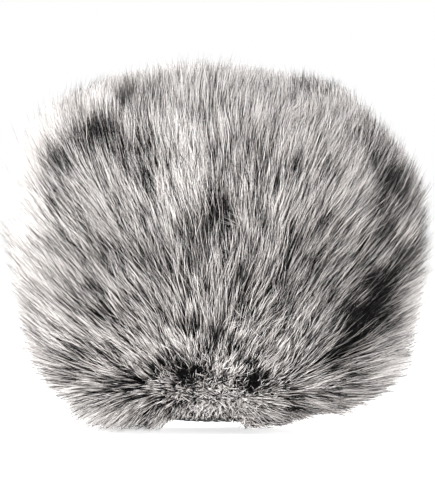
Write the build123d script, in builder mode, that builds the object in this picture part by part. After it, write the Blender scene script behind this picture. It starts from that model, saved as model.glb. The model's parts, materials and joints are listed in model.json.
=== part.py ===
from build123d import *
import math
import os

# Furry windscreen, in millimetres. +Z is up and the origin is on the surface that the fur stands on,
# under the middle of the neck. The front panel faces -Y, and a microphone enters along +Z.

# Tips of the combed pile, which are the outside of the windscreen
FUR_WIDTH = 131.0
FUR_DEPTH = 95.0
FUR_HEIGHT = 114.0
FUR_CROWN_RADIUS = 47.0
FUR_HEEL_RADIUS = 28.0
FUR_EDGE_RADIUS = 26.0
# Knit backing that the pile grows from, which is the inside of the fur panels
BACKING_WIDTH = 101.0
BACKING_DEPTH = 67.0
BACKING_BOTTOM = 6.0
BACKING_TOP = 99.0
BACKING_CROWN_RADIUS = 32.0
BACKING_HEEL_RADIUS = 20.0
BACKING_EDGE_RADIUS = 18.0
# The sides lean outwards as they rise
SIDE_LEAN_DEG = 8.0

# Depths below the backing
SEAM_SPACE = 1.0
LINING_THICKNESS = 0.8
FOAM_CLEARANCE = 0.1

# The gusset is a strip that widens from the neck to the crown
GUSSET_HALF_AT_BASE = 14.0
GUSSET_SPREAD_DEG = 6.0

# Neck
MIC_RADIUS = 10.0
MOUTH_HEIGHT = 4.2
GRIP_WALL = 2.6
GRIP_TOP = 18.0
GRIP_FLANGE_RADIUS = 16.0
GRIP_FLANGE_THICKNESS = 2.0
MOUTH_CHAMFER = 0.8
COLLAR_INNER_RADIUS = 13.0
COLLAR_OUTER_RADIUS = 17.0
COLLAR_FLANGE_TOP = 6.6
CASING_OUTER_RADIUS = 15.5
CASING_TOP = 15.6
CASING_CLOTH = 0.7
ELASTIC_WIDTH = 5.0
ELASTIC_CLEARANCE = 0.12
BINDING_THICKNESS = 1.0
BINDING_ROUNDING = 0.4
NECK_CLEARANCE = 0.2
MOUTH_FLARE_RADIUS = 21.0

# Foam core
MIC_POCKET_TOP = 74.0
POCKET_ROUNDING = 4.0

# Threads
SEAM_STITCH_LENGTH = 3.0
SEAM_STITCH_PITCH = 5.0
SEAM_STITCH_RADIUS = 0.3
HEM_STITCH_LENGTH = 2.0
HEM_STITCH_WIDTH = 0.5
HEM_STITCH_HEIGHT = 0.25
HEM_STITCH_COUNT = 28


def pillow(width, depth, bottom, top, crown_radius, heel_radius, edge_radius):
    """Solid with upright front and back, leaning sides, round corners above and below, and round edges."""
    lean = math.radians(SIDE_LEAN_DEG)
    side_at_top = width / 2 - crown_radius + crown_radius / math.cos(lean) + crown_radius * math.tan(lean)
    side_at_bottom = side_at_top - (top - bottom) * math.tan(lean)
    with BuildPart() as body:
        with BuildSketch(Plane.XZ) as front_view:
            with BuildLine():
                Polyline(
                    (-side_at_bottom, bottom),
                    (side_at_bottom, bottom),
                    (side_at_top, top),
                    (-side_at_top, top),
                    close=True,
                )
            make_face()
            fillet(front_view.vertices().group_by(Axis.Y)[-1], radius=crown_radius)
            fillet(front_view.vertices().group_by(Axis.Y)[0], radius=heel_radius)
        extrude(amount=depth / 2, both=True)
        ends = body.faces().sort_by(Axis.Y)
        fillet(ends[0].edges() + ends[-1].edges(), radius=edge_radius)
    return body.part


def below_backing(inset):
    """The backing's shape, smaller by an even inset."""
    return pillow(
        BACKING_WIDTH - 2 * inset,
        BACKING_DEPTH - 2 * inset,
        BACKING_BOTTOM + inset,
        BACKING_TOP - inset,
        BACKING_CROWN_RADIUS - inset,
        BACKING_HEEL_RADIUS - inset,
        BACKING_EDGE_RADIUS - inset,
    )


def neck_post(radius, top):
    """Cylinder about the neck's axis, from under the windscreen to a height."""
    with BuildPart() as post:
        with BuildSketch():
            Circle(radius)
        extrude(amount=top)
    return post.part


def finish(piece, name):
    """Label a finished piece and write its file."""
    piece.label = name
    export_step(piece, f"parts/{name}.step")


os.makedirs("parts", exist_ok=True)

# Seam planes, each leaning outwards as it rises, with their normals away from the gusset
lean_sin = math.sin(math.radians(GUSSET_SPREAD_DEG))
lean_cos = math.cos(math.radians(GUSSET_SPREAD_DEG))
front_seam = Plane(origin=(0, -GUSSET_HALF_AT_BASE, 0), x_dir=(1, 0, 0), z_dir=(0, -lean_cos, -lean_sin))
back_seam = Plane(origin=(0, GUSSET_HALF_AT_BASE, 0), x_dir=(1, 0, 0), z_dir=(0, lean_cos, -lean_sin))

fur_tips = pillow(
    FUR_WIDTH, FUR_DEPTH, 0, FUR_HEIGHT, FUR_CROWN_RADIUS, FUR_HEEL_RADIUS, FUR_EDGE_RADIUS
)
backing_solid = below_backing(0)
neck_hole_radius = COLLAR_OUTER_RADIUS + NECK_CLEARANCE

# Fur all round, before it is cut into panels. The pile thins towards the mouth in a flare.
with BuildPart() as fur:
    add(fur_tips)
    add(backing_solid, mode=Mode.SUBTRACT)
    with BuildSketch():
        Circle(neck_hole_radius)
    extrude(amount=BACKING_TOP / 2, mode=Mode.SUBTRACT)
    with BuildSketch():
        Circle(MOUTH_FLARE_RADIUS)
    with BuildSketch(Plane.XY.offset(MOUTH_HEIGHT)):
        Circle(neck_hole_radius)
    loft(mode=Mode.SUBTRACT)

with BuildPart() as front_panel:
    add(fur.part)
    split(bisect_by=front_seam, keep=Keep.TOP)
finish(front_panel.part, "front_panel")

with BuildPart() as back_panel:
    add(fur.part)
    split(bisect_by=back_seam, keep=Keep.TOP)
finish(back_panel.part, "back_panel")

with BuildPart() as side_gusset:
    add(fur.part)
    split(bisect_by=front_seam, keep=Keep.BOTTOM)
    split(bisect_by=back_seam, keep=Keep.BOTTOM)
finish(side_gusset.part, "side_gusset")

# Lining: a knit sock between the panels and the foam, open round the elastic casing
lining_outside = below_backing(SEAM_SPACE)
lining_inside = below_backing(SEAM_SPACE + LINING_THICKNESS)
casing_post = neck_post(CASING_OUTER_RADIUS + NECK_CLEARANCE, CASING_TOP)
with BuildPart() as lining_sock:
    add(lining_outside)
    add(lining_inside, mode=Mode.SUBTRACT)
    add(casing_post, mode=Mode.SUBTRACT)
finish(lining_sock.part, "lining_sock")

# Foam: a shaped block with a socket for the neck parts and a blind pocket for the microphone
neck_socket = neck_post(GRIP_FLANGE_RADIUS + NECK_CLEARANCE, GRIP_TOP)
mic_post = neck_post(MIC_RADIUS, MIC_POCKET_TOP)
foam_outside = below_backing(SEAM_SPACE + LINING_THICKNESS + FOAM_CLEARANCE)
with BuildPart() as mic_pocket:
    add(mic_post)
    fillet(mic_pocket.edges().group_by(Axis.Z)[-1], radius=POCKET_ROUNDING)
with BuildPart() as foam_core:
    add(foam_outside)
    add(neck_socket, mode=Mode.SUBTRACT)
    add(mic_pocket.part, mode=Mode.SUBTRACT)
finish(foam_core.part, "foam_core")

# Grip ring: a rubber tube whose flange seats against the foam
grip_outer_radius = MIC_RADIUS + GRIP_WALL
with BuildPart() as grip_ring:
    with BuildSketch(Plane.XY.offset(MOUTH_HEIGHT)):
        Circle(grip_outer_radius)
    extrude(amount=GRIP_TOP - MOUTH_HEIGHT)
    with BuildSketch(Plane.XY.offset(GRIP_TOP - GRIP_FLANGE_THICKNESS)):
        Circle(GRIP_FLANGE_RADIUS)
    extrude(amount=GRIP_FLANGE_THICKNESS)
    with BuildSketch(Plane.XY.offset(MOUTH_HEIGHT)):
        Circle(MIC_RADIUS)
    extrude(amount=GRIP_TOP - MOUTH_HEIGHT, mode=Mode.SUBTRACT)
    mouth_edges = grip_ring.edges().filter_by(GeomType.CIRCLE).group_by(Axis.Z)[0]
    chamfer(mouth_edges, length=MOUTH_CHAMFER)
finish(grip_ring.part, "grip_ring")

# Collar: a short-pile band with a turned-in casing that the elastic runs in
binding_top = MOUTH_HEIGHT + BINDING_THICKNESS
casing_floor = CASING_TOP - ELASTIC_WIDTH - 2 * ELASTIC_CLEARANCE
with BuildPart() as neck_collar:
    with BuildSketch(Plane.XY.offset(binding_top)):
        Circle(COLLAR_OUTER_RADIUS)
        Circle(COLLAR_INNER_RADIUS, mode=Mode.SUBTRACT)
    extrude(amount=COLLAR_FLANGE_TOP - binding_top)
    with BuildSketch(Plane.XY.offset(binding_top)):
        Circle(CASING_OUTER_RADIUS)
        Circle(COLLAR_INNER_RADIUS, mode=Mode.SUBTRACT)
    extrude(amount=CASING_TOP - binding_top)
    with BuildSketch(Plane.XY.offset(casing_floor)):
        Circle(CASING_OUTER_RADIUS - CASING_CLOTH)
        Circle(COLLAR_INNER_RADIUS + CASING_CLOTH, mode=Mode.SUBTRACT)
    extrude(amount=CASING_TOP - casing_floor, mode=Mode.SUBTRACT)
finish(neck_collar.part, "neck_collar")

with BuildPart() as neck_elastic:
    with BuildSketch(Plane.XY.offset(casing_floor + ELASTIC_CLEARANCE)):
        Circle(CASING_OUTER_RADIUS - CASING_CLOTH - ELASTIC_CLEARANCE)
        Circle(COLLAR_INNER_RADIUS + CASING_CLOTH + ELASTIC_CLEARANCE, mode=Mode.SUBTRACT)
    extrude(amount=ELASTIC_WIDTH)
finish(neck_elastic.part, "neck_elastic")

# Binding: a woven tape folded round the mouth's edge
with BuildPart() as neck_binding:
    with BuildSketch(Plane.XY.offset(MOUTH_HEIGHT)):
        Circle(COLLAR_OUTER_RADIUS)
        Circle(COLLAR_INNER_RADIUS, mode=Mode.SUBTRACT)
    extrude(amount=BINDING_THICKNESS)
    fillet(neck_binding.edges().filter_by(GeomType.CIRCLE), radius=BINDING_ROUNDING)
finish(neck_binding.part, "neck_binding")

# Hem stitches: a ring of short bars on the underside of the binding
hem_radius = (COLLAR_INNER_RADIUS + COLLAR_OUTER_RADIUS) / 2
with BuildPart() as neck_hem_thread:
    with BuildSketch(Plane.XY.offset(MOUTH_HEIGHT - HEM_STITCH_HEIGHT)):
        with PolarLocations(hem_radius, HEM_STITCH_COUNT):
            SlotOverall(HEM_STITCH_LENGTH, HEM_STITCH_WIDTH, rotation=90)
    extrude(amount=HEM_STITCH_HEIGHT)
finish(neck_hem_thread.part, "neck_hem_thread")

# Seam stitches: short bars in the seam space, along the line where a panel meets the gusset
seam_space_solid = below_backing(SEAM_SPACE / 2)
for seam, name in ((front_seam, "front_seam_thread"), (back_seam, "back_seam_thread")):
    seam_line = section(seam_space_solid, section_by=seam, mode=Mode.PRIVATE).faces()[0].outer_wire()
    stitch_count = round(seam_line.length / SEAM_STITCH_PITCH)
    places = [seam_line.location_at((i + 0.5) / stitch_count) for i in range(stitch_count)]
    clear = [p for p in places if math.hypot(p.position.X, p.position.Y) > neck_hole_radius + SEAM_STITCH_LENGTH]
    with BuildPart() as seam_thread:
        with Locations(*clear):
            Cylinder(SEAM_STITCH_RADIUS, SEAM_STITCH_LENGTH)
    finish(seam_thread.part, name)
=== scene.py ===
import json
import math

import bmesh
import bpy
import numpy as np
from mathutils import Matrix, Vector
from mathutils.kdtree import KDTree


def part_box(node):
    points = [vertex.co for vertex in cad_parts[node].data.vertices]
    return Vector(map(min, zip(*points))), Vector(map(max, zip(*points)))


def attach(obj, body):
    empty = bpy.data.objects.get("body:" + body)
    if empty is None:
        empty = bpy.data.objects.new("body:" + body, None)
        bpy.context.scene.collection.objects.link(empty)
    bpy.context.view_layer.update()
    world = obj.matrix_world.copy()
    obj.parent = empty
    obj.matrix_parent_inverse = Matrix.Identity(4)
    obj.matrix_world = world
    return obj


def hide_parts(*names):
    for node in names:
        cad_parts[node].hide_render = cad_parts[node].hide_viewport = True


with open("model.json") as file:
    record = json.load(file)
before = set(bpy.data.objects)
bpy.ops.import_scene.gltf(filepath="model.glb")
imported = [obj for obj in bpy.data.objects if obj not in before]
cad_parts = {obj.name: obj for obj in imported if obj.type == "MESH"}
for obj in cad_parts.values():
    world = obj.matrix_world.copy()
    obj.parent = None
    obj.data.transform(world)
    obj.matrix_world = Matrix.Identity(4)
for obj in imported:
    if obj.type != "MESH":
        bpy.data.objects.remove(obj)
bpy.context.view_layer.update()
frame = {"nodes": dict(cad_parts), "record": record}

# Furry windscreen, in metres. +Z is up, +X runs across the front and -Y is out of the front panel.
MM = 0.001
PI = math.pi

# -------- sizes, from the frame
LINING_LOW, LINING_HIGH = (np.array(corner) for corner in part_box("lining_sock"))
BINDING_LOW, BINDING_HIGH = (np.array(corner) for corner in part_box("neck_binding"))

SEAM_SPACE = 1.0 * MM
BACKING_HALF_WIDTH = LINING_HIGH[0] + SEAM_SPACE
BACKING_HALF_DEPTH = LINING_HIGH[1] + SEAM_SPACE
BACKING_TOP = LINING_HIGH[2] + SEAM_SPACE
BACKING_BOTTOM = LINING_LOW[2] - SEAM_SPACE
BACKING_MIDDLE = (BACKING_TOP + BACKING_BOTTOM) / 2
BACKING_HALF_HEIGHT = (BACKING_TOP - BACKING_BOTTOM) / 2
NECK_RADIUS = BINDING_HIGH[0]
MOUTH_HEIGHT = BINDING_LOW[2]

# The gusset's half width is this at the standing surface and grows by this much per unit of height
GUSSET_HALF_AT_BASE = 14.0 * MM
GUSSET_SPREAD = math.tan(math.radians(6.0))

# -------- the backing's surface
SIDE_LEAN = math.radians(8.0)
# How square each corner is in the front view: 2 is an ellipse's. The right side is the rounder one.
CROWN_POWER = 2.45
HEEL_POWER = 3.2
CROWN_SKEW = -0.20
HEEL_SKEW = -0.30
DEPTH_POWER = 2.5


def outline_distance(angle, inset=0.0):
    """From the backing's middle to its outline in the front view, at an angle from +X."""
    across, up = np.cos(angle), np.sin(angle)
    side = BACKING_HALF_WIDTH * math.cos(SIDE_LEAN) - inset
    to_side = np.maximum(np.abs(across) * math.cos(SIDE_LEAN) - up * math.sin(SIDE_LEAN), 0) / side
    to_end = np.abs(up) / (BACKING_HALF_HEIGHT - inset)
    power = np.where(up > 0, CROWN_POWER + CROWN_SKEW * across, HEEL_POWER + HEEL_SKEW * across)
    return (to_side**power + to_end**power) ** (-1 / power)


def backing_point(angle, tilt, inset=0.0):
    """Point on the backing, or that far inside it.

    tilt is 0 in mid-front, pi/2 on the outline and pi in mid-back.
    """
    inward = np.abs(np.sin(tilt)) ** (2 / DEPTH_POWER)
    forward = np.sign(np.cos(tilt)) * np.abs(np.cos(tilt)) ** (2 / DEPTH_POWER)
    reach = outline_distance(angle, inset) * inward
    depth = (BACKING_HALF_DEPTH - inset) * forward
    return np.stack([reach * np.cos(angle), -depth, BACKING_MIDDLE + reach * np.sin(angle)], axis=-1)


def gusset_half(height):
    return GUSSET_HALF_AT_BASE + GUSSET_SPREAD * height


# The front and back panels stop at this much tilt from their middles
POLE_TILT = 0.03
SEAM_SEARCH_START = 0.02
HALVINGS = 30


def seam_tilt(angle):
    """Tilt at which the front seam crosses each ray of the front view, found by halving."""
    low, high = np.full_like(angle, SEAM_SEARCH_START), np.full_like(angle, PI / 2)
    for _ in range(HALVINGS):
        middle = (low + high) / 2
        point = backing_point(angle, middle)
        in_front = -point[..., 1] > gusset_half(point[..., 2])
        low, high = np.where(in_front, middle, low), np.where(in_front, high, middle)
    return (low + high) / 2


RING_COUNT = 192
FRONT_STEPS = 44
GUSSET_STEPS = 30


def panel_grid(first, last, steps, inset=0.0):
    """Points from tilt first to tilt last, each a function of the ray's angle."""
    angle = np.linspace(0, 2 * PI, RING_COUNT, endpoint=False)
    share = np.linspace(0, 1, steps + 1)
    tilt = first(angle)[:, None] * (1 - share) + last(angle)[:, None] * share
    return backing_point(np.repeat(angle[:, None], steps + 1, axis=1), tilt, inset)


def front_pole(angle):
    return np.full_like(angle, POLE_TILT)


def back_pole(angle):
    return np.full_like(angle, PI - POLE_TILT)


def back_seam_tilt(angle):
    return PI - seam_tilt(angle)


PANELS = {
    "front": panel_grid(front_pole, seam_tilt, FRONT_STEPS),
    "gusset": panel_grid(seam_tilt, back_seam_tilt, GUSSET_STEPS),
    "back": panel_grid(back_seam_tilt, back_pole, FRONT_STEPS),
}


def grid_quads(grid):
    """Corner points of every cell of a grid that closes round the rays, as an array of cells by 4 by 3."""
    wrapped = np.concatenate([grid, grid[:1]])
    corners = [wrapped[:-1, :-1], wrapped[1:, :-1], wrapped[1:, 1:], wrapped[:-1, 1:]]
    return np.stack(corners, axis=2).reshape(-1, 4, 3)


def scatter(panel, count, rng):
    """Random places on a panel, even by area, with the outward direction at each."""
    quads = grid_quads(PANELS[panel])
    normal = np.cross(quads[:, 2] - quads[:, 0], quads[:, 3] - quads[:, 1])
    area = np.linalg.norm(normal, axis=1) / 2
    picked = rng.choice(len(quads), count, p=area / area.sum())
    a, b = rng.random((2, count, 1))
    q = quads[picked]
    place = (q[:, 0] * (1 - a) + q[:, 1] * a) * (1 - b) + (q[:, 3] * (1 - a) + q[:, 2] * a) * b
    outward = normal[picked] / np.linalg.norm(normal[picked], axis=1, keepdims=True)
    away = place - np.array([0, 0, BACKING_MIDDLE])
    outward *= np.sign((outward * away).sum(axis=1, keepdims=True))
    return place, outward


# -------- helpers for fields over the fur
SMALLEST_LENGTH = 1e-9
# Each wave's length as a share of the scale asked for, and the height that the waves' sum is divided by
WAVE_LENGTHS = (0.6, 1.6)
WAVE_CREST = 1.4


def unit(vectors):
    return vectors / np.maximum(np.linalg.norm(vectors, axis=-1, keepdims=True), SMALLEST_LENGTH)


def smooth_step(value, low, high):
    share = np.clip((value - low) / (high - low), 0, 1)
    return share * share * (3 - 2 * share)


def bell(value, middle, spread):
    """1 at the middle, falling off smoothly to both sides."""
    return np.exp(-(((value - middle) / spread) ** 2))


def waves(points, scale, seed, count=7):
    """Smooth noise of about -1 to 1, from plane waves about as long as scale."""
    rng = np.random.default_rng(seed)
    directions = unit(rng.normal(size=(count, 3)))
    lengths = scale * rng.uniform(*WAVE_LENGTHS, count)
    phases = rng.uniform(0, 2 * PI, count)
    total = np.zeros(len(points))
    for direction, length, phase in zip(directions, lengths, phases):
        total += np.sin(points @ direction * (2 * PI / length) + phase)
    return total / math.sqrt(count / 2) / WAVE_CREST


# -------- how the pile lies
# In the front view the pile is combed away from a point under the neck, and flatter low down on the sides.
# A pair of values is where something starts and where it is complete.
FOCUS_X = -2.0 * MM
FOCUS_HEIGHT = -14.0 * MM
BASE_FOCUS_HEIGHT = 0.0 * MM
FOCUS_CHANGE = (8 * MM, 34 * MM)
# ... but the clipped pile over the mouth stands steeper, as if combed from this height
MOUTH_FOCUS_HEIGHT = -13.0 * MM
MOUTH_FOCUS_SPREAD = 18 * MM
# ... and this much further under it on the right, where the pile stands steeper
RIGHT_FOCUS_DROP = 11.0 * MM
RIGHT_DROP_ACROSS = (0, 22 * MM)
# ... and this much further under it high up on the left
LEFT_FOCUS_DROP = 40.0 * MM
LEFT_DROP_ACROSS = (8 * MM, 38 * MM)
LEFT_DROP_UP = (22 * MM, 50 * MM)
# Below these heights the pile also fans out to the front and to the back
UNDERSIDE_END = (10 * MM, 30 * MM)
# How far along the surface the fan has to run for the pile to be fully combed over
COMBED_OVER = (0.0, 0.55)
# Turns of the combing in radians, each with the size and the seed of its noise
SWIRLS = [(0.14, 60 * MM, 11), (0.10, 24 * MM, 12)]
# The parting at the lower right of the front view. It keeps near the seam of the front panel and the gusset,
# but for its outer end, which runs on over the gusset.
PARTING = np.array([(7, 8), (23.5, 19), (36, 29), (43, 41), (52, 53), (64, 61)]) * MM
PARTING_WIDTH = 11 * MM
PARTING_DEPTH = (4 * MM, 16 * MM)
PARTING_START = (0.02, 0.2)
TURN_BELOW_PARTING = 0.42
TURN_ABOVE_PARTING = -0.18


def parting_offset(points):
    """Distance from the parting in the front view, above 0 on its lower right, and its share passed."""
    flat = points[:, (0, 2)]
    nearest = np.full(len(flat), np.inf)
    signed = np.zeros(len(flat))
    along = np.zeros(len(flat))
    steps = len(PARTING) - 1
    for i in range(steps):
        start, run = PARTING[i], PARTING[i + 1] - PARTING[i]
        share = np.clip((flat - start) @ run / (run @ run), 0, 1)
        gap = flat - start - share[:, None] * run
        distance = np.linalg.norm(gap, axis=1)
        side = np.sign(run[1] * gap[:, 0] - run[0] * gap[:, 1])
        closer = distance < nearest
        nearest = np.where(closer, distance, nearest)
        signed = np.where(closer, distance * side, signed)
        along = np.where(closer, (i + share) / steps, along)
    return signed, along


def turn(vectors, axes, angles):
    """Each vector turned about its axis, which is at right angles to it."""
    angles = angles[:, None]
    return vectors * np.cos(angles) + np.cross(axes, vectors) * np.sin(angles)


def combed(place, outward):
    """The direction that the pile is combed in, along the surface, with a length from 0 to 1."""
    rise = smooth_step(place[:, 2], *FOCUS_CHANGE)
    over_mouth = bell(place[:, 0], FOCUS_X, MOUTH_FOCUS_SPREAD)
    base_focus = BASE_FOCUS_HEIGHT + (MOUTH_FOCUS_HEIGHT - BASE_FOCUS_HEIGHT) * over_mouth
    focus = base_focus + (FOCUS_HEIGHT - base_focus) * rise
    focus = focus - RIGHT_FOCUS_DROP * smooth_step(place[:, 0], *RIGHT_DROP_ACROSS)
    high_left = smooth_step(-place[:, 0], *LEFT_DROP_ACROSS) * smooth_step(place[:, 2], *LEFT_DROP_UP)
    focus = focus - LEFT_FOCUS_DROP * high_left
    outwards = place[:, 1] * (1 - smooth_step(place[:, 2], *UNDERSIDE_END))
    fan = unit(np.stack([place[:, 0] - FOCUS_X, outwards, place[:, 2] - focus], axis=1))
    along = fan - (fan * outward).sum(axis=1, keepdims=True) * outward
    strength = smooth_step(np.linalg.norm(along, axis=1), *COMBED_OVER)
    direction = unit(along)
    swirl = sum(amount * waves(place, scale, seed) for amount, scale, seed in SWIRLS)
    front = smooth_step(-place[:, 1], *PARTING_DEPTH)
    offset, share = parting_offset(place)
    parted = bell(offset, 0, PARTING_WIDTH) * front * smooth_step(share, *PARTING_START)
    swirl = swirl + parted * np.where(offset > 0, TURN_BELOW_PARTING, TURN_ABOVE_PARTING)
    return turn(direction, -outward, swirl) * strength[:, None]


RUFFLE = 0.45


def ruffled(along, outward, rng):
    """Pile that isn't combed over leans a little each way, so that it covers its roots."""
    loose = 1 - np.linalg.norm(along, axis=1, keepdims=True)
    stray = rng.normal(size=along.shape)
    stray = unit(stray - (stray * outward).sum(axis=1, keepdims=True) * outward)
    return along + RUFFLE * loose * stray


SEGMENTS = 3
SHARES = np.linspace(0, 1, SEGMENTS + 1)

# How far strands turn out of the combing, in radians: all, a few wild ones, and more where they are clipped
STRAY_TURN = 0.14
WILD_CHANCE = 0.06
WILD_TURN = 0.6
STUBBLE_TURN = 0.32
STUBBLE_CURL = 1.8
# Pile that isn't combed over starts this much more upright
STAND_UP = 0.5
# Strands sink under their own weight, most of all low down on the left
LEAST_DROOP = 0.08
RANDOM_DROOP = 0.08
LOW_DROOP = 0.60
LOW_DROOP_UP = (8 * MM, 22 * MM)
LOW_DROOP_ACROSS = (-12 * MM, 12 * MM)
LOW_DROOP_LOST_RIGHT = 0.9
# They bend on along the combing and in towards the surface, and wave to the side and outwards
SWEEP_ALONG = 0.30
SWEEP_INWARD = 0.22
WAVE_SIDEWAYS = 0.5
WAVE_OUTWARD = 0.4
BEND_SHARE = 0.5
WAVE_SHARE = 0.25
WAVE_TURNS = 1.5


def bend_strands(place, outward, length, lift, rng, curl):
    """Points along each strand, as an array of strands by points by 3."""
    count = len(place)
    along = combed(place, outward)
    stubbly = stubble_share(place)
    turned = rng.normal(0, STRAY_TURN, count)
    wild = rng.random(count) < WILD_CHANCE
    turned = turned + wild * rng.normal(0, WILD_TURN, count)
    turned = turned + stubbly * rng.normal(0, STUBBLE_TURN, count)
    curl = curl * (1 + STUBBLE_CURL * stubbly[:, None])
    along = ruffled(turn(along, outward, turned), outward, rng)
    lean = np.linalg.norm(along, axis=1, keepdims=True)
    length = length * standing_share(along)
    side = np.cross(outward, unit(along))
    start = unit(along * np.cos(lift)[:, None] + outward * (np.sin(lift)[:, None] + STAND_UP * (1 - lean)))
    low = 1 - smooth_step(place[:, 2:3], *LOW_DROOP_UP)
    low = low * (1 - LOW_DROOP_LOST_RIGHT * smooth_step(place[:, 0:1], *LOW_DROOP_ACROSS))
    droop = np.array([0, 0, -1.0]) * (LEAST_DROOP + RANDOM_DROOP * rng.random((count, 1)) + LOW_DROOP * low)
    sweep = SWEEP_ALONG * along - SWEEP_INWARD * outward + droop
    sweep = sweep + curl * side * rng.normal(0, 1, (count, 1))
    wave = curl * WAVE_SIDEWAYS * side * rng.normal(0, 1, (count, 1))
    wave = wave + curl * WAVE_OUTWARD * outward * rng.normal(0, 1, (count, 1))
    s = SHARES[None, :, None]
    path = start[:, None] * s + BEND_SHARE * sweep[:, None] * s**2
    path = path + WAVE_SHARE * wave[:, None] * np.sin(PI * s * WAVE_TURNS)
    return place[:, None] + path * length[:, None, None]


# -------- length of the pile
LONG_PILE = 24.0 * MM
SHORT_PILE = 5.4 * MM
# In the front view the pile grows over these distances from a point twice as high as the mouth
FRONT_GROWTH = (6 * MM, 34 * MM)
# Under the cover its growth is at most this, and the limit rises to 1 beside the neck and above the base
LEAST_GROWTH = 0.30
BESIDE_NECK = (NECK_RADIUS - 2 * MM, NECK_RADIUS + 18 * MM)
ABOVE_BASE = (14 * MM, 30 * MM)
# Near the outline it is shorter round these rays of the front view, or longer where the share is below 0:
# each ray's angle from +X in degrees, its spread in radians and the share. The left one counts to 360.
NEAR_OUTLINE = (25 * MM, 42 * MM)
SHORTER_RAYS = [
    (29, 0.32, 0.24), (-66, 0.16, 0.22), (130, 0.33, 0.17), (68, 0.30, 0.21), (-128, 0.16, 0.30),
    (-50, 0.16, -0.14),
]
LEFT_RAY = (178, 0.38, -0.11)
STUBBLE_END = 0.55 * LONG_PILE
PACKED_LENGTH = 0.60


def pile_length(place):
    """The pile is clipped short round the mouth and grows to its full length away from it."""
    reach = np.hypot(place[:, 0] - FOCUS_X, place[:, 2] - 2 * MOUTH_HEIGHT)
    from_axis = np.hypot(place[:, 0], place[:, 1])
    beside = smooth_step(from_axis, *BESIDE_NECK)
    beside = np.maximum(beside, smooth_step(place[:, 2], *ABOVE_BASE))
    growth = np.minimum(smooth_step(reach, *FRONT_GROWTH), LEAST_GROWTH + (1 - LEAST_GROWTH) * beside)
    turned = np.arctan2(place[:, 2] - BACKING_MIDDLE, place[:, 0])
    shorter = np.zeros(len(place))
    for degrees, spread, share in SHORTER_RAYS:
        shorter = shorter + share * bell(turned, math.radians(degrees), spread)
    degrees, spread, share = LEFT_RAY
    shorter = shorter + share * bell(np.mod(turned, 2 * PI), math.radians(degrees), spread)
    outer = smooth_step(np.hypot(place[:, 0], place[:, 2] - BACKING_MIDDLE), *NEAR_OUTLINE)
    growth = growth * (1 - outer * shorter)
    return SHORT_PILE + (LONG_PILE - SHORT_PILE) * growth


def stubble_share(place):
    """1 where the pile is clipped short, falling to 0 where it grows long."""
    return 1 - smooth_step(pile_length(place), SHORT_PILE, STUBBLE_END)


def standing_share(along):
    """Pile that stands up instead of lying over is packed down, so that it looks shorter."""
    return PACKED_LENGTH + (1 - PACKED_LENGTH) * np.linalg.norm(along, axis=-1)


# -------- colour of the pile


# Dark patches of the front, as across, up, radius and strength: millimetres from the middle and the base.
# Those along the parting at the lower right are partly dark pile and partly painted shade in the parting.
DARK_PATCHES = [
    (-35.5, 90, 5.5, 1.1), (-27.5, 102.5, 3.5, 1.3), (-44, 100, 3, 0.6), (-24, 85, 5, 0.7), (9, 86, 6, 0.4),
    (27, 106, 4, 0.3), (53, 74, 7, 1.0), (2, 68, 6, 0.5), (-33, 55, 6, 0.45), (48, 45, 6, 1.3),
    (46, 37, 6, 1.2), (39, 29, 5, 1.2), (0, 33, 4, 0.75), (-9, 20, 4, 1.0),
    (-5, 17, 3, 0.7), (12, 18, 4, 0.75),
    (-30, 17, 4, 0.3), (-19, 10, 4, 0.45), (24, 9, 5, 0.3), (-41, 39, 4, 0.2), (-45, 59, 4, 0.25),
    (-48, 82, 3.5, 0.8), (-54, 85, 3, 0.4), (-20, 76, 4, 0.55), (-18, 55, 6, 0.35), (-34, 44, 4, 0.4),
    (13, 46, 6, 0.45), (30, 45, 6, 0.45), (30, 80, 5, 0.3), (-7, 60, 6, 0.55), (54, 54, 5, 0.8),
    (3, 82, 5, 0.3), (35, 66, 4, 0.25), (20, 60, 4, 0.45), (49, 83, 5, 0.5), (49, 58, 5, 0.7),
    (-25, 36, 4, 0.4), (-7, 36, 4, 0.5),
    (3, 54, 4, 0.15), (21, 54, 5, 0.35), (40, 36, 5, 1.1), (21, 42, 5, 0.55), (31, 27, 4, 0.55),
    (-44, 25, 5, 0.2), (41, 18, 5, 0.5), (-55, 38, 5, 0.3), (-43, 73, 4, 0.5), (12, 82, 4, 0.35),
    (30, 64, 5, 0.6), (58, 68, 5, 0.5), (12, 54, 4, 0.3), (30, 54, 5, 0.4), (48, 74, 4, 0.4),
]
# Pale patches of the front, in the same way. Those low round the mouth are partly painted light, brightening
# pile that lies in shade.
LIGHT_PATCHES = [
    (-12, 88, 10, 0.6), (-7, 93, 7, 0.8), (-12, 72, 9, 0.3), (-54, 73, 8, 0.9), (-57, 50, 9, 0.2),
    (-40, 70, 7, 0.4), (-5, 103, 13, 0.6), (38, 93, 7, 0.9), (-52, 30, 8, 0.2), (22, 100, 7, 0.4),
    (60, 42, 7, 1.8), (58, 84, 6, 0.5), (-55, 64, 7, 1.2), (-9, 27, 7, 0.9), (0, 9, 8, 1.0),
    (3, 13, 6, 0.9), (-8, 9, 5, 0.7), (23, 38, 4, 0.4), (12, 35, 6, 0.6), (13, 9, 7, 1.2),
    (30, 17, 6, 0.9), (-35, 101, 5, 1.0), (40, 73, 6, 0.7), (40, 64, 5, 0.5), (-19, 64, 6, 0.6),
    (-22, 45, 4, 0.3), (-28, 28, 6, 0.3), (-16, 36, 5, 0.3), (2, 45, 4, 0.6), (20, 37, 6, 0.8),
    (21, 83, 5, 0.6), (-44, 65, 5, 0.5), (-7, 45, 5, 0.4), (-17, 17, 5, 0.6), (49, 18, 5, 0.8),
    (58, 37, 5, 1.1), (-26, 12, 6, 0.5), (-34, 9, 5, 0.6),
]
PATCH_FALL = 0.9


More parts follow.
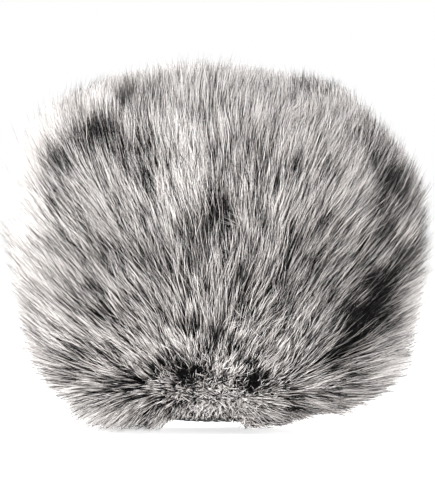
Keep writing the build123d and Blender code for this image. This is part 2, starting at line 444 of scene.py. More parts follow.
def patch_strength(points, patches):
    total = np.zeros(len(points))
    for across, up, radius, strength in patches:
        gap = np.hypot(points[:, 0] - across * MM, points[:, 2] - up * MM) / (radius * MM)
        total = np.maximum(total, strength * np.exp(-(gap**2) * PATCH_FALL))
    return total


# Painted light on the pile's fringe, which whitens it as if blown out by the light: where it starts and
# ends, out from the backing's outline, and how strong it is: the least all round, the most at one angle of
# the front view, and only on the front half
FRINGE_EDGES = (-1 * MM, 13 * MM)
FRINGE_LIGHT_LEAST = 0.28
FRINGE_LIGHT_MOST = 0.76
FRINGE_LIGHT_TONE = 0.99
FRINGE_ANGLE = math.radians(154)
FRINGE_SPREAD = math.radians(38)
FRINGE_DEPTH = (-4 * MM, 9 * MM)


def painted_fringe_light(points):
    """From 0 to 1, how far points stand out of the backing's outline: painted light that whitens the
    thinning pile.
    """
    angle = np.arctan2(points[..., 2] - BACKING_MIDDLE, points[..., 0])
    reach = np.hypot(points[..., 0], points[..., 2] - BACKING_MIDDLE)
    beyond = smooth_step(reach - outline_distance(angle), *FRINGE_EDGES)
    facing = bell(np.mod(angle, 2 * PI), FRINGE_ANGLE, FRINGE_SPREAD)
    front = smooth_step(-points[..., 1], *FRINGE_DEPTH)
    return beyond * front * (FRINGE_LIGHT_LEAST + (FRINGE_LIGHT_MOST - FRINGE_LIGHT_LEAST) * facing)


# Patches are placed one by one over these depths at the front, and come from noise behind them. Small dark
# flecks come everywhere. Each noise has a size, a seed, the values that it fades in over, and a strength.
PLACED_DEPTH = (0, 14 * MM)
WIDE_FLECKS = (15 * MM, 21)
FINE_FLECKS = (7 * MM, 22)
FINE_FLECK_SHARE = 0.5
FLECK_EDGES = (0.75, 1.5)
FLECK_STRENGTH = 0.35
BLOTCHES = (34 * MM, 23)
BLOTCH_EDGES = (0.55, 1.1)
BLOTCH_STRENGTH = 0.7
PALE_AREAS = (40 * MM, 24)
PALE_EDGES = (0.2, 1.2)
PALE_STRENGTH = 0.4
# A strand's chance of being black, and what dark patches, pale patches and its tuft add to it
BLACK_CHANCE = 0.35
DARK_WEIGHT = 0.62
LIGHT_WEIGHT = 0.22
TUFT_WEIGHT = 0.60
BLACK_CHANCES = (0.03, 0.95)
GREY_CHANCE = 0.10
# Tones of the black, the grey and the pale strands: a start, a range and the shape of the spread over it
BLACK_SPREAD = (1.2, 6.0)
BLACK_RANGE = 0.24
GREY_START = 0.30
GREY_RANGE = 0.40
PALE_START = 0.72
PALE_RANGE = 0.24
PALE_SPREAD = (2.0, 1.6)
PALE_TUFT_WEIGHT = 0.10
PALE_LIGHT_WEIGHT = 0.12
DARK_SHADE = 0.30
TONE_LIMITS = (0.01, 0.99)


def shade(middle, clump_tone, rng):
    """Each strand's tone, from 0 for black to 1 for white."""
    count = len(middle)
    front = smooth_step(-middle[:, 1], *PLACED_DEPTH)
    noise = waves(middle, *WIDE_FLECKS) + FINE_FLECK_SHARE * waves(middle, *FINE_FLECKS)
    flecks = smooth_step(noise, *FLECK_EDGES)
    blotches = smooth_step(waves(middle, *BLOTCHES), *BLOTCH_EDGES)
    pale_areas = smooth_step(waves(middle, *PALE_AREAS), *PALE_EDGES)
    dark = front * patch_strength(middle, DARK_PATCHES) + (1 - front) * BLOTCH_STRENGTH * blotches
    dark = dark + FLECK_STRENGTH * flecks
    light = front * patch_strength(middle, LIGHT_PATCHES) + (1 - front) * PALE_STRENGTH * pale_areas
    chance = BLACK_CHANCE + DARK_WEIGHT * dark - LIGHT_WEIGHT * light + TUFT_WEIGHT * (0.5 - clump_tone)
    chance = np.clip(chance, *BLACK_CHANCES)
    pick = rng.random(count)
    black = rng.beta(*BLACK_SPREAD, count) * BLACK_RANGE
    grey = GREY_START + GREY_RANGE * rng.random(count)
    pale = PALE_START + PALE_RANGE * rng.beta(*PALE_SPREAD, count)
    pale = pale + PALE_TUFT_WEIGHT * (clump_tone - 0.5) + PALE_LIGHT_WEIGHT * light
    tone = np.where(pick < chance, black, np.where(pick < chance + GREY_CHANCE, grey, pale))
    tone = tone * (1 - DARK_SHADE * np.clip(dark, 0, 1))
    return np.clip(tone, *TONE_LIMITS)


# -------- objects and modifiers
def add_object(name, data):
    piece = bpy.data.objects.new(name, data)
    bpy.context.collection.objects.link(piece)
    return piece


def thicken(piece, thickness):
    """Give a sheet its thickness, half to each side."""
    modifier = piece.modifiers.new("thickness", "SOLIDIFY")
    modifier.thickness = thickness
    modifier.offset = 0


def apply_modifiers(piece):
    graph = bpy.context.evaluated_depsgraph_get()
    piece.data = bpy.data.meshes.new_from_object(piece.evaluated_get(graph))
    piece.modifiers.clear()


# -------- strands to meshes
SIDES = 3
POINTS_PER_STRAND = SEGMENTS * SIDES + 1


def strand_faces():
    """Corners of one strand's faces: its blunt root, its sides and its tip."""
    faces = [tuple(reversed(range(SIDES)))]
    for ring in range(SEGMENTS - 1):
        low, high = ring * SIDES, (ring + 1) * SIDES
        for i in range(SIDES):
            j = (i + 1) % SIDES
            faces.append((low + i, low + j, high + j, high + i))
    last = (SEGMENTS - 1) * SIDES
    for i in range(SIDES):
        faces.append((last + i, last + (i + 1) % SIDES, POINTS_PER_STRAND - 1))
    return faces


STRAND_FACES = strand_faces()
STRAND_LOOPS = np.concatenate(STRAND_FACES)
STRAND_STARTS = np.cumsum([0] + [len(face) for face in STRAND_FACES[:-1]])
# A strand's width at each ring of points, as a share of its own
RING_WIDTHS = np.array([0.8, 1.0, 0.7])
# Strands steeper than this get their sides from the X axis, and the others from the Z axis
STEEP = 0.8
# The UV map keeps this far off its edges, and a strand's sides are this far apart in it
UV_MARGIN = 0.02
UV_SPAN = 1 - 2 * UV_MARGIN
TONE_SPREAD = 0.0012


def strand_mesh(name, paths, widths, tones, root_share):
    """One mesh of closed, tapered strands, with their tone and the share along them in its UV map."""
    count = len(paths)
    run = unit(paths[:, -1] - paths[:, 0])
    steep = np.abs(run[:, 2:3]) > STEEP
    helper = np.where(steep, np.array([[1.0, 0, 0]]), np.array([[0, 0, 1.0]]))
    first = unit(np.cross(run, helper))
    second = np.cross(run, first)
    corner = np.arange(SIDES) * 2 * PI / SIDES
    ring = np.cos(corner)[None, :, None] * first[:, None] + np.sin(corner)[None, :, None] * second[:, None]
    radius = widths[:, None] / 2 * RING_WIDTHS
    rings = paths[:, :SEGMENTS, None] + ring[:, None] * radius[:, :, None, None]
    points = np.concatenate([rings.reshape(count, -1, 3), paths[:, -1:]], axis=1)

    mesh = bpy.data.meshes.new(name)
    mesh.vertices.add(count * POINTS_PER_STRAND)
    mesh.vertices.foreach_set("co", points.astype(np.float32).ravel())
    loops = (np.arange(count)[:, None] * POINTS_PER_STRAND + STRAND_LOOPS).ravel()
    starts = (np.arange(count)[:, None] * len(STRAND_LOOPS) + STRAND_STARTS).ravel()
    mesh.loops.add(len(loops))
    mesh.loops.foreach_set("vertex_index", loops.astype(np.int32))
    mesh.polygons.add(len(starts))
    mesh.polygons.foreach_set("loop_start", starts.astype(np.int32))
    mesh.update(calc_edges=True)
    mesh.polygons.foreach_set("use_smooth", np.ones(len(starts), bool))

    share = np.append(np.repeat(SHARES[:SEGMENTS], SIDES), 1.0)
    spread = np.append(np.tile(np.arange(SIDES) - 1.0, SEGMENTS), 0.0) * TONE_SPREAD
    rings_of_points = np.append(np.repeat(np.arange(SEGMENTS), SIDES), SEGMENTS)
    u = (tones[:, rings_of_points] * UV_SPAN + UV_MARGIN)[:, STRAND_LOOPS] + spread[STRAND_LOOPS]
    along = root_share[:, None] + (1 - root_share[:, None]) * share[STRAND_LOOPS]
    v = along * UV_SPAN + UV_MARGIN
    uv = mesh.uv_layers.new(name="OFBake")
    uv.data.foreach_set("uv", np.stack([u, v], axis=-1).astype(np.float32).ravel())
    return add_object(name, mesh)


# -------- growing the pile
CLUMPS_PER_PANEL = {"front": 1500, "gusset": 1900, "back": 1500}
TUFT_SEED = 100
# Length as a share of the pile's, and how far roots stand up, as a middle and a spread in degrees
TUFT_LENGTHS = (0.85, 1.15)
TUFT_LIFT = (35, 7)
TUFT_CURL = 0.16


def guide_tufts(panel, seed):
    """Tufts that strands of a panel gather towards: a tree of their roots, their paths and their tones."""
    rng = np.random.default_rng(seed)
    count = CLUMPS_PER_PANEL[panel]
    place, outward = scatter(panel, count, rng)
    length = pile_length(place) * rng.uniform(*TUFT_LENGTHS, count)
    lift = np.radians(rng.normal(*TUFT_LIFT, count))
    paths = bend_strands(place, outward, length, lift, rng, TUFT_CURL)
    tree = KDTree(count)
    for i, p in enumerate(place):
        tree.insert(p, i)
    tree.balance()
    return tree, paths, rng.random(count)


TUFTS = {panel: guide_tufts(panel, TUFT_SEED + i) for i, panel in enumerate(PANELS)}


# Over the mouth the pile is clipped level between these two, and it comes down again beside them
MOUTH_GAP_LEFT = -13.2 * MM
MOUTH_GAP_RIGHT = 4.2 * MM
MOUTH_GAP_SLOPE = 0.9
# Right of the mouth the pile lifts off the standing surface by up to this much, over this stretch
LIFTED_HEM = 3.6 * MM
LIFTED_HEM_ACROSS = (3 * MM, 12 * MM)
LIFTED_HEM_SHARES = (0.5, 1.0)
CLEARANCE = 0.3 * MM
TRIM_JITTER = 0.5


def trim(paths, rng):
    """Keep strands off the surface that the windscreen stands on, and clip them level over the mouth."""
    outside = np.maximum(MOUTH_GAP_LEFT - paths[..., 0], paths[..., 0] - MOUTH_GAP_RIGHT)
    gap = MOUTH_HEIGHT + CLEARANCE - np.maximum(outside, 0) / MOUTH_GAP_SLOPE
    jitter = rng.uniform(0, TRIM_JITTER, len(paths))[:, None] * MM
    lifted = LIFTED_HEM * smooth_step(paths[..., 0], *LIFTED_HEM_ACROSS)
    lifted = lifted * rng.uniform(*LIFTED_HEM_SHARES, len(paths))[:, None]
    floor = np.maximum(np.maximum(gap, lifted), CLEARANCE) + jitter
    low = paths[..., 2] < floor
    paths[..., 2] = np.where(low, floor, paths[..., 2])
    return paths


# Two kinds of pile: length as a share of the panel's, lift in degrees, width in millimetres and how much
# wider it is where it is clipped, curl, and brightness. The underfur's lower brightness is painted shade
# deep in the pile.
GUARD_HAIR = {
    "length": (0.60, 1.12), "lift": (35, 8), "width": (0.16, 0.32), "wider": 0.35, "curl": 0.13, "tone": 1,
}
SHORT_HAIR = {
    "length": (0.45, 0.75), "lift": (40, 10), "width": (0.15, 0.24), "wider": 0, "curl": 0.25, "tone": 0.5,
}
# Clipped strands are flatter except under the neck, less even in their lift and less gathered, and show
# less of the dark root, which is partly the strands' own colour and partly painted shade
STUBBLE_FLATTENING = 0.5
STUBBLE_LIFT_SPREAD = 0.35
STUBBLE_UNGATHERED = 0.6
STUBBLE_ROOT_SHARE = 0.48
UNDER_NECK = (0.6, 0.95)
# Strands gather towards their tuft by these shares, more towards the tip
GATHER = (0.15, 0.65)
GATHER_POWER = 1.4
# A piece on part of a panel picks its roots from this many times as many places
SPARE_PLACES = 8
NECK_CLEARANCE = 3 * MM
# A strand's place in the patches is this mix of its last two points, and its tone varies along it by this
PATCH_MIX = (0.8, 0.2)
BAND_SPREAD = 0.11


def grow(name, panel, count, seed, keep=None, under=False):
    """Strands on the part of a panel where keep is true: guard hair, or the shorter and finer underfur."""
    rng = np.random.default_rng(seed)
    place, outward = scatter(panel, count * SPARE_PLACES if keep else count, rng)
    if keep:
        wanted = np.flatnonzero(keep(place))[:count]
        place, outward = place[wanted], outward[wanted]
    clear = np.hypot(place[:, 0], place[:, 1]) > NECK_RADIUS - NECK_CLEARANCE
    clear |= place[:, 2] > BACKING_MIDDLE
    place, outward = place[clear], outward[clear]
    count = len(place)
    full = pile_length(place)
    stubbly = stubble_share(place)
    kind = SHORT_HAIR if under else GUARD_HAIR
    length = full * rng.uniform(*kind["length"], count)
    lift = np.radians(rng.normal(*kind["lift"], count))
    widths = rng.uniform(*kind["width"], count) * (1 + kind["wider"] * stubbly) * MM
    under_neck = smooth_step(-outward[:, 2], *UNDER_NECK)
    lift = lift * (1 - STUBBLE_FLATTENING * stubbly * (1 - under_neck))
    lift = lift + stubbly * rng.normal(0, STUBBLE_LIFT_SPREAD, count)
    paths = bend_strands(place, outward, length, lift, rng, kind["curl"])
    tree, tuft_paths, tuft_tones = TUFTS[panel]
    nearest = np.array([tree.find(p)[1] for p in place])
    gather = rng.uniform(*GATHER, count) * (1 - STUBBLE_UNGATHERED * stubbly)
    pull = gather[:, None, None] * (SHARES[None, :, None] ** GATHER_POWER)
    paths = paths + pull * (tuft_paths[nearest] - paths)
    paths = trim(paths, rng)
    middle = paths[:, 2] * PATCH_MIX[0] + paths[:, 3] * PATCH_MIX[1]
    # The underfur's tone is scaled down here as painted shade deep in the pile
    tones = shade(middle, tuft_tones[nearest], rng) * kind["tone"]
    # Painted light: the pile's fringe is whitened below, as if blown out by the light
    fringe_light_share = painted_fringe_light(paths)
    bands = rng.normal(0, BAND_SPREAD, (count, SEGMENTS + 1))
    tones = np.clip(tones[:, None] + bands, *TONE_LIMITS) * (1 - fringe_light_share) + FRINGE_LIGHT_TONE * fringe_light_share
    piece = strand_mesh(name, paths, widths, tones, STUBBLE_ROOT_SHARE * stubbly)
    piece.data.materials.append(MATERIALS["fur"])
    return piece


COLLAR_PILE_COUNT = 5200
COLLAR_PILE_LOW = MOUTH_HEIGHT + 0.7 * MM
COLLAR_PILE_HIGH = MOUTH_HEIGHT + 3.6 * MM
# Lengths and widths in millimetres. Beside the mouth's gap the strands are longer and hang down.
COLLAR_LENGTHS = (2.2, 5.0)
COLLAR_WIDTHS = (0.22, 0.40)
COLLAR_BESIDE = (-1 * MM, 4 * MM)
COLLAR_LENGTHENING = 0.6
COLLAR_RISE = (1.1, 0.6)
COLLAR_FALL = 0.9
COLLAR_SIDEWAYS = 0.4
COLLAR_BOW = 0.35
COLLAR_BLACK_CHANCE = 0.42
COLLAR_BLACKS = (0.02, 0.2)
COLLAR_PALES = (0.6, 0.98)


def collar_pile(seed):
    """Short pile all round the neck's collar, longer at the sides of the mouth."""
    rng = np.random.default_rng(seed)
    count = COLLAR_PILE_COUNT
    around = rng.uniform(0, 2 * PI, count)
    outward = np.stack([np.cos(around), np.sin(around), np.zeros(count)], axis=1)
    place = outward * NECK_RADIUS
    place[:, 2] = rng.uniform(COLLAR_PILE_LOW, COLLAR_PILE_HIGH, count)
    beside = np.maximum(MOUTH_GAP_LEFT - place[:, 0], place[:, 0] - MOUTH_GAP_RIGHT)
    beside = smooth_step(beside, *COLLAR_BESIDE)
    length = rng.uniform(*COLLAR_LENGTHS, count) * MM * (1 + COLLAR_LENGTHENING * beside)
    sideways = np.stack([-outward[:, 1], outward[:, 0], np.zeros(count)], axis=1)
    rise = rng.normal(*COLLAR_RISE, count) * (1 - beside) - COLLAR_FALL * beside
    aim = outward + sideways * rng.normal(0, COLLAR_SIDEWAYS, (count, 1))
    aim[:, 2] = rise
    bow = unit(rng.normal(size=(count, 3))) * COLLAR_BOW
    s = SHARES[None, :, None]
    path = unit(aim)[:, None] * s + bow[:, None] * s**2
    paths = trim(place[:, None] + path * length[:, None, None], rng)
    black = rng.random(count) < COLLAR_BLACK_CHANCE
    tones = np.where(black, rng.uniform(*COLLAR_BLACKS, count), rng.uniform(*COLLAR_PALES, count))
    tones = np.repeat(tones[:, None], SEGMENTS + 1, axis=1)
    widths = rng.uniform(*COLLAR_WIDTHS, count) * MM
    piece = strand_mesh("collar_pile", paths, widths, tones, np.full(count, STUBBLE_ROOT_SHARE))
    piece.data.materials.append(MATERIALS["fur"])
    return piece


# -------- materials
def new_material(name, roughness):
    """A material with its node tree and its Principled shader."""
    material = bpy.data.materials.new(name)
    material.use_nodes = True
    shader = material.node_tree.nodes["Principled BSDF"]
    shader.inputs["Roughness"].default_value = roughness
    return material, material.node_tree, shader


def add_node(tree, kind, inputs=None, **values):
    node = tree.nodes.new(kind)
    for key, value in values.items():
        setattr(node, key, value)
    for socket, value in (inputs or {}).items():
        node.inputs[socket].default_value = value
    return node


def ramp(tree, source, stops):
    """A colour ramp from (place, colour) stops."""
    node = add_node(tree, "ShaderNodeValToRGB")
    elements = node.color_ramp.elements
    while len(elements) < len(stops):
        elements.new(1.0)
    for element, (place, colour) in zip(elements, stops):
        element.position = place
        element.color = (*colour, 1.0)
    tree.links.new(source, node.inputs["Fac"])
    return node.outputs["Color"]


def multiply(tree, first, second):
    node = add_node(tree, "ShaderNodeMix", {"Factor": 1.0}, data_type="RGBA", blend_type="MULTIPLY")
    tree.links.new(first, node.inputs["A"])
    tree.links.new(second, node.inputs["B"])
    return node.outputs["Result"]


def add_bump(tree, shader, height, strength, distance):
    """Relief of the surface from a height."""
    bump = add_node(tree, "ShaderNodeBump", {"Strength": strength, "Distance": distance})
    tree.links.new(height, bump.inputs["Height"])
    tree.links.new(bump.outputs["Normal"], shader.inputs["Normal"])


def fur_material():
    """Salt-and-pepper pile: the tone runs across the UV map, and root to tip runs up it."""
    material, tree, shader = new_material("fur_pile", 0.7)
    place = add_node(tree, "ShaderNodeUVMap", uv_map="OFBake")
    split = add_node(tree, "ShaderNodeSeparateXYZ")
    tree.links.new(place.outputs["UV"], split.inputs["Vector"])
    tone = ramp(tree, split.outputs["X"], [
        (0.00, (0.003, 0.003, 0.003)), (0.20, (0.016, 0.015, 0.016)), (0.40, (0.130, 0.124, 0.122)),
        (0.62, (0.42, 0.395, 0.385)), (0.80, (0.70, 0.665, 0.65)), (1.00, (0.93, 0.905, 0.895)),
    ])
    # Darker towards the root: partly the strands' own dark roots, partly painted shade deep in the pile
    along = ramp(tree, split.outputs["Y"], [
        (0.02, (0.02, 0.02, 0.02)), (0.35, (0.12, 0.12, 0.12)), (0.66, (0.79, 0.775, 0.76)),
        (0.90, (1.0, 1.0, 1.0)),
    ])
    tree.links.new(multiply(tree, tone, along), shader.inputs["Base Color"])
    shader.inputs["Specular IOR Level"].default_value = 0.03
    return material


# A wave texture of this scale, divided by a width, has bands about that far apart
BAND_SCALE = 0.3


def cloth_material(name, dark, light, thread, roughness=0.9):
    """Knit or woven cloth: fine crossed threads in colour and in the surface."""
    material, tree, shader = new_material(name, roughness)
    place = add_node(tree, "ShaderNodeTexCoord").outputs["Object"]
    scale = BAND_SCALE / thread
    across = add_node(tree, "ShaderNodeTexWave", {"Scale": scale, "Distortion": 1.5})
    across.bands_direction = "DIAGONAL"
    up = add_node(tree, "ShaderNodeTexWave", {"Scale": scale, "Distortion": 1.0})
    up.bands_direction = "Z"
    for wave in (across, up):
        tree.links.new(place, wave.inputs["Vector"])
    mixed = add_node(tree, "ShaderNodeMath", operation="MULTIPLY")
    tree.links.new(across.outputs["Fac"], mixed.inputs[0])
    tree.links.new(up.outputs["Fac"], mixed.inputs[1])
    colour = ramp(tree, mixed.outputs["Value"], [(0.0, dark), (0.6, light)])
    tree.links.new(colour, shader.inputs["Base Color"])
    add_bump(tree, shader, mixed.outputs["Value"], 0.6, thread / 2)
    return material


def foam_material():
    """Open-cell foam: dark cells of a millimetre or so with paler walls."""
    material, tree, shader = new_material("foam_cells", 0.95)
    place = add_node(tree, "ShaderNodeTexCoord").outputs["Object"]
    cells = add_node(tree, "ShaderNodeTexVoronoi", {"Scale": 900.0}, feature="F1")
    tree.links.new(place, cells.inputs["Vector"])
    dark, light = (0.012, 0.012, 0.013), (0.075, 0.075, 0.08)
    colour = ramp(tree, cells.outputs["Distance"], [(0.15, dark), (0.75, light)])
    tree.links.new(colour, shader.inputs["Base Color"])
    add_bump(tree, shader, cells.outputs["Distance"], 0.8, 0.6 * MM)
    return material


def rubber_material():
    """Soft black rubber with a fine moulded grain and a trace of dust."""
    material, tree, shader = new_material("soft_rubber", 0.6)
    place = add_node(tree, "ShaderNodeTexCoord").outputs["Object"]
    grain = add_node(tree, "ShaderNodeTexNoise", {"Scale": 1400.0, "Detail": 4.0})
    dust = add_node(tree, "ShaderNodeTexNoise", {"Scale": 160.0})
    for noise in (grain, dust):
        tree.links.new(place, noise.inputs["Vector"])
    dark, light = (0.016, 0.016, 0.017), (0.045, 0.044, 0.043)
    colour = ramp(tree, dust.outputs["Fac"], [(0.35, dark), (0.75, light)])
    tree.links.new(colour, shader.inputs["Base Color"])
    add_bump(tree, shader, grain.outputs["Fac"], 0.25, 0.1 * MM)
    return material


MATERIALS = {
    "fur": fur_material(),
    "knit": cloth_material("fur_backing_knit", (0.02, 0.02, 0.021), (0.10, 0.10, 0.102), 0.8 * MM),
    "lining": cloth_material("lining_knit", (0.03, 0.03, 0.032), (0.12, 0.12, 0.125), 0.6 * MM),
    "tape": cloth_material("woven_tape", (0.010, 0.010, 0.011), (0.06, 0.06, 0.062), 0.5 * MM, 0.8),
    "thread": cloth_material("sewing_thread", (0.10, 0.10, 0.10), (0.30, 0.29, 0.28), 0.3 * MM, 0.7),
    "foam": foam_material(),
    "rubber": rubber_material(),
}

NODE_MATERIALS = {
    "neck_collar": "knit",
    "neck_binding": "tape",
    "neck_elastic": "tape",
    "grip_ring": "rubber",
    "front_seam_thread": "thread",
    "back_seam_thread": "thread",
    "neck_hem_thread": "thread",
}
for node, material in NODE_MATERIALS.items():
    slots = frame["nodes"][node].data.materials
    slots.clear()
    slots.append(MATERIALS[material])


# -------- knit backing of each panel
CLOTH_THICKNESS = 0.8 * MM
MERGE_DISTANCE = 1e-6


def backing_sheet(panel):
    """The knit that a panel's pile grows from, cut out round the neck."""
    grid = PANELS[panel]
    rings, steps = grid.shape[:2]
    points = grid.reshape(-1, 3).copy()
    faces = []
    for i in range(rings):
        for j in range(steps - 1):
            k = (i + 1) % rings
            faces.append((i * steps + j, k * steps + j, k * steps + j + 1, i * steps + j + 1))
    from_axis = np.hypot(points[:, 0], points[:, 1])
    inside = (from_axis < NECK_RADIUS) & (points[:, 2] < BACKING_MIDDLE)
    faces = [face for face in faces if not all(inside[list(face)])]
    snapped = np.unique([corner for face in faces for corner in face if inside[corner]]).astype(int)
    if len(snapped):
        points[snapped, :2] *= (NECK_RADIUS / from_axis[snapped])[:, None]
    if panel != "gusset":
        pole = len(points)
        column = 0 if panel == "front" else steps - 1
        points = np.vstack([points, grid[:, column].mean(axis=0)])
        ring = [i * steps + column for i in range(rings)]
        ring = ring if panel == "front" else ring[::-1]
        faces += [(ring[(i + 1) % rings], ring[i], pole) for i in range(rings)]
    mesh = bpy.data.meshes.new(f"{panel}_backing")
    mesh.from_pydata([tuple(p) for p in points], [], faces)
    mesh.validate()
    work = bmesh.new()
    work.from_mesh(mesh)
    bmesh.ops.delete(work, geom=[v for v in work.verts if not v.link_faces], context="VERTS")
    bmesh.ops.remove_doubles(work, verts=work.verts, dist=MERGE_DISTANCE)
    bmesh.ops.recalc_face_normals(work, faces=work.faces)
    work.to_mesh(mesh)
    work.free()
    area = sum(p.area for p in mesh.polygons)
    piece = add_object(f"{panel}_backing", mesh)
    thicken(piece, CLOTH_THICKNESS)
    mesh.materials.append(MATERIALS["knit"])
    mesh.polygons.foreach_set("use_smooth", np.ones(len(mesh.polygons), bool))
    return piece, area


# -------- lining and foam inside
LINING_THICKNESS = 0.8 * MM
LINING_INSET = 1.4 * MM
FOAM_INSET = 2.2 * MM
SKIN_STEPS = 64
SHARP_ANGLE = math.radians(40)


def whole_skin(name, inset):
    """A closed skin of the backing's shape at an inset, as a mesh."""
    grid = panel_grid(front_pole, back_pole, SKIN_STEPS, inset)
    rings, steps = grid.shape[:2]
    points = grid.reshape(-1, 3)
    faces = []
    for i in range(rings):
        here, beside = i * steps, (i + 1) % rings * steps
        faces += [(here + j, beside + j, beside + j + 1, here + j + 1) for j in range(steps - 1)]
    faces.append([i * steps for i in reversed(range(rings))])
    faces.append([i * steps + steps - 1 for i in range(rings)])
    mesh = bpy.data.meshes.new(name)
    mesh.from_pydata([tuple(p) for p in points], [], faces)
    mesh.update()
    return mesh


def turned_solid(name, profile, sides=96):
    """A closed solid turned about +Z from (radius, height) points, which start and end on the axis."""
    points, faces = [], []
    corners = [(math.cos(2 * PI * i / sides), math.sin(2 * PI * i / sides)) for i in range(sides)]
    for radius, height in profile[1:-1]:
        points += [(radius * x, radius * y, height) for x, y in corners]
    rows = len(profile) - 2
    for row in range(rows - 1):
        low, high = row * sides, (row + 1) * sides
        for i in range(sides):
            j = (i + 1) % sides
            faces.append((low + i, low + j, high + j, high + i))
    faces.append(tuple(reversed(range(sides))))
    faces.append(tuple(range((rows - 1) * sides, rows * sides)))
    mesh = bpy.data.meshes.new(name)
    mesh.from_pydata(points, [], faces)
    mesh.update()
    return mesh


def cut_away(piece, cutter_mesh):
    """Take a solid out of a piece, for good."""
    cutter = add_object("cutter", cutter_mesh)
    cut = piece.modifiers.new("cut", "BOOLEAN")
    cut.operation = "DIFFERENCE"
    cut.solver = "EXACT"
    cut.object = cutter
    apply_modifiers(piece)
    bpy.data.objects.remove(cutter)


def finish_solid(piece, material):
    """Smooth shading but for the sharp edges, and one material."""
    mesh = piece.data
    mesh.polygons.foreach_set("use_smooth", np.ones(len(mesh.polygons), bool))
    mesh.set_sharp_from_angle(angle=SHARP_ANGLE)
    mesh.materials.clear()
    mesh.materials.append(MATERIALS[material])


GRIP_HIGH = np.array(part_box("grip_ring")[1])
SOCKET_RADIUS = GRIP_HIGH[0] + 0.2 * MM
MIC_RADIUS = frame["record"]["mounts"][0]["dims"]["r_mm"] * MM
POCKET_TOP = 74.0 * MM
POCKET_ROUNDING = 4.0 * MM
ROUNDING_STEPS = 8
# The height that cutters start at
BELOW_BASE = -5 * MM


def pocket_profile():
    """The neck's socket and the microphone's pocket, from below the mouth to the pocket's rounded end."""
    profile = [(0, BELOW_BASE), (SOCKET_RADIUS, BELOW_BASE)]
    profile += [(SOCKET_RADIUS, GRIP_HIGH[2]), (MIC_RADIUS, GRIP_HIGH[2])]
    for i in range(ROUNDING_STEPS + 1):
        turned = PI / 2 * i / ROUNDING_STEPS
        radius = MIC_RADIUS - POCKET_ROUNDING * (1 - math.cos(turned))
        profile.append((radius, POCKET_TOP - POCKET_ROUNDING * (1 - math.sin(turned))))
    profile.append((0, POCKET_TOP))
    return profile


def foam_body():
    """The foam block, with its skin of cells, socket and pocket."""
    piece = add_object("foam_body", whole_skin("foam_body", FOAM_INSET))
    cut_away(piece, turned_solid("pocket", pocket_profile()))
    finish_solid(piece, "foam")
    return piece


CASING_RADIUS = NECK_RADIUS - 1.3 * MM
CASING_TOP = 30 * MM


def lining_knit():
    """The knit sock over the foam, open round the neck's casing."""
    post = [(0, BELOW_BASE), (CASING_RADIUS, BELOW_BASE), (CASING_RADIUS, CASING_TOP), (0, CASING_TOP)]
    piece = add_object("lining_knit", whole_skin("lining_knit", LINING_INSET))
    thicken(piece, LINING_THICKNESS)
    apply_modifiers(piece)
    cut_away(piece, turned_solid("casing_post", post))
    finish_solid(piece, "lining")
    return piece


# -------- the pieces
def ray(place):
    """Each place's angle in the front view, in degrees from +X."""
    return np.degrees(np.arctan2(place[:, 2] - BACKING_MIDDLE, place[:, 0]))


def between_rays(low, high):
    """Test for the stretch of the gusset that one piece of pile covers."""
    return lambda place: (ray(place) > low) & (ray(place) <= high)


def beyond_rays(low, high):
    """The same for the stretch on the left, where the angle jumps from 180 to -180."""
    return lambda place: (ray(place) <= low) | (ray(place) > high)


def corner_of_panel(right, upper):
    """Test for the quarter of a panel that one piece of pile covers."""
    return lambda place: ((place[:, 0] >= 0) == right) & ((place[:, 2] > BACKING_MIDDLE) == upper)


# Strands in each piece, before those inside the neck are left out
FRONT_GUARD_HAIR = 12400
BACK_GUARD_HAIR = 9500
GUSSET_GUARD_HAIR = 11000
UNDERFUR = 12400
# Rays that the gusset's guard hair is divided at
GUSSET_STRETCHES = {
    "right": between_rays(-42, 45),
    "top_right": between_rays(45, 90),
    "top_left": between_rays(90, 135),
    "left": beyond_rays(-138, 135),
    "base": between_rays(-138, -42),
}


def panel_pieces(panel, count):
    """Name, panel, strands, test and whether it is underfur, for each piece of pile on a panel."""
    pieces = []
    for right, side in ((False, "left"), (True, "right")):
        for upper, level in ((False, "lower"), (True, "upper")):
            name = f"{panel}_guard_hair_{level}_{side}"
            pieces.append((name, panel, count, corner_of_panel(right, upper), False))
    pieces.append((f"{panel}_underfur", panel, UNDERFUR, None, True))
    return pieces


def gusset_pieces():
    """The same for the gusset."""
    pieces = []
    for stretch, test in GUSSET_STRETCHES.items():
        pieces.append((f"gusset_guard_hair_{stretch}", "gusset", GUSSET_GUARD_HAIR, test, False))
    pieces.append(("gusset_underfur", "gusset", UNDERFUR, None, True))
    return pieces


FUR_PIECES = {
    "front_panel": panel_pieces("front", FRONT_GUARD_HAIR),
    "side_gusset": gusset_pieces(),
    "back_panel": panel_pieces("back", BACK_GUARD_HAIR),
}
BACKINGS = {"front_panel": "front", "side_gusset": "gusset", "back_panel": "back"}

seed = 1
for node, tufts in FUR_PIECES.items():
    for name, panel, count, keep, under in tufts:
        piece = grow(name, panel, count, seed, keep, under)
        seed += 1
        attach(piece, "root")
        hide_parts(node)
    backing, area = backing_sheet(BACKINGS[node])
    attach(backing, "root")
    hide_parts(node)

neck_pile = collar_pile(seed)
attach(neck_pile, "root")

foam = foam_body()
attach(foam, "root")
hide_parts("foam_core")

lining = lining_knit()
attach(lining, "root")
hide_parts("lining_sock")


# -------- floor, light and camera
FLOOR_RADIUS = 4
FLOOR_SIDES = 96
FLOOR_GLOW = 0.72


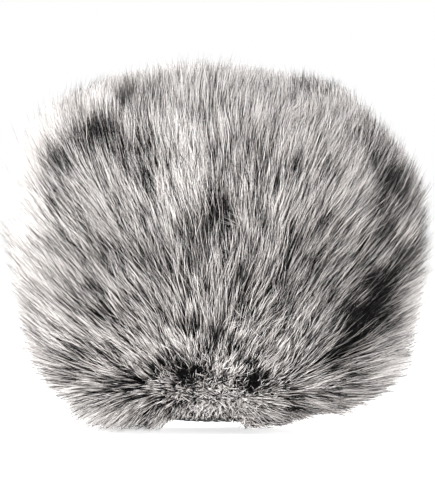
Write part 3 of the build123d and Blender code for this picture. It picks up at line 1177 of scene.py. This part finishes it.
def pale_floor():
    """A wide pale floor under the windscreen."""
    mesh = bpy.data.meshes.new("floor")
    turns = [2 * PI * i / FLOOR_SIDES for i in range(FLOOR_SIDES)]
    rim = [(FLOOR_RADIUS * math.cos(angle), FLOOR_RADIUS * math.sin(angle), 0) for angle in turns]
    mesh.from_pydata(rim, [], [tuple(range(FLOOR_SIDES))])
    floor = add_object("floor", mesh)
    material, tree, shader = new_material("pale_floor", 0.9)
    shader.inputs["Base Color"].default_value = (0.95, 0.95, 0.95, 1)
    shader.inputs["Emission Color"].default_value = (1, 1, 1, 1)
    shader.inputs["Emission Strength"].default_value = FLOOR_GLOW
    mesh.materials.append(material)


def area_light(name, place, target, size, power):
    data = bpy.data.lights.new(name, "AREA")
    data.shape = "DISK"
    data.size = size
    data.energy = power
    light = add_object(name, data)
    light.location = place
    light.rotation_euler = (Vector(target) - Vector(place)).to_track_quat("-Z", "Y").to_euler()


def white_world(strength):
    """White all round: seen at full strength, while it lights the object at the strength given."""
    world = bpy.data.worlds.new("studio")
    bpy.context.scene.world = world
    world.use_nodes = True
    background = world.node_tree.nodes["Background"]
    background.inputs["Color"].default_value = (1, 1, 1, 1)
    seen = add_node(world.node_tree, "ShaderNodeLightPath").outputs["Is Camera Ray"]
    brightness = add_node(world.node_tree, "ShaderNodeMapRange", {"To Min": strength, "To Max": 1.0})
    world.node_tree.links.new(seen, brightness.inputs["Value"])
    world.node_tree.links.new(brightness.outputs["Result"], background.inputs["Strength"])


WORLD_STRENGTH = 0.35
# Each light's name, place, target, size and power
LIGHTS = [
    ("key", (-0.40, -0.75, 0.65), (0, 0, 0.06), 0.3, 13.1),
    ("front", (0.25, -0.95, 0.10), (0, 0, 0.02), 0.5, 9.5),
    ("rim_left", (-0.5, 0.6, 0.5), (0, 0, 0.07), 0.4, 12.0),
    ("rim_right", (0.6, 0.6, 0.4), (0, 0, 0.07), 0.4, 6.0),
]
# In millimetres, as Blender has it
SENSOR_HEIGHT = 24
VIEW_DISTANCE = 0.85
VIEW_ELEVATION = math.radians(1.5)
FRAME_HEIGHT = 153.3 * MM
AIM = Vector((0, 0, 56.8 * MM))


def studio_camera():
    data = bpy.data.cameras.new("camera")
    data.sensor_fit = "VERTICAL"
    data.sensor_height = SENSOR_HEIGHT
    data.lens = SENSOR_HEIGHT * VIEW_DISTANCE / FRAME_HEIGHT
    camera = add_object("camera", data)
    towards = Vector((0, -math.cos(VIEW_ELEVATION), math.sin(VIEW_ELEVATION)))
    camera.location = AIM + VIEW_DISTANCE * towards
    camera.rotation_euler = (AIM - camera.location).to_track_quat("-Z", "Y").to_euler()
    bpy.context.scene.camera = camera


pale_floor()
white_world(WORLD_STRENGTH)
for light in LIGHTS:
    area_light(*light)
studio_camera()
bpy.context.scene.view_settings.view_transform = "Standard"
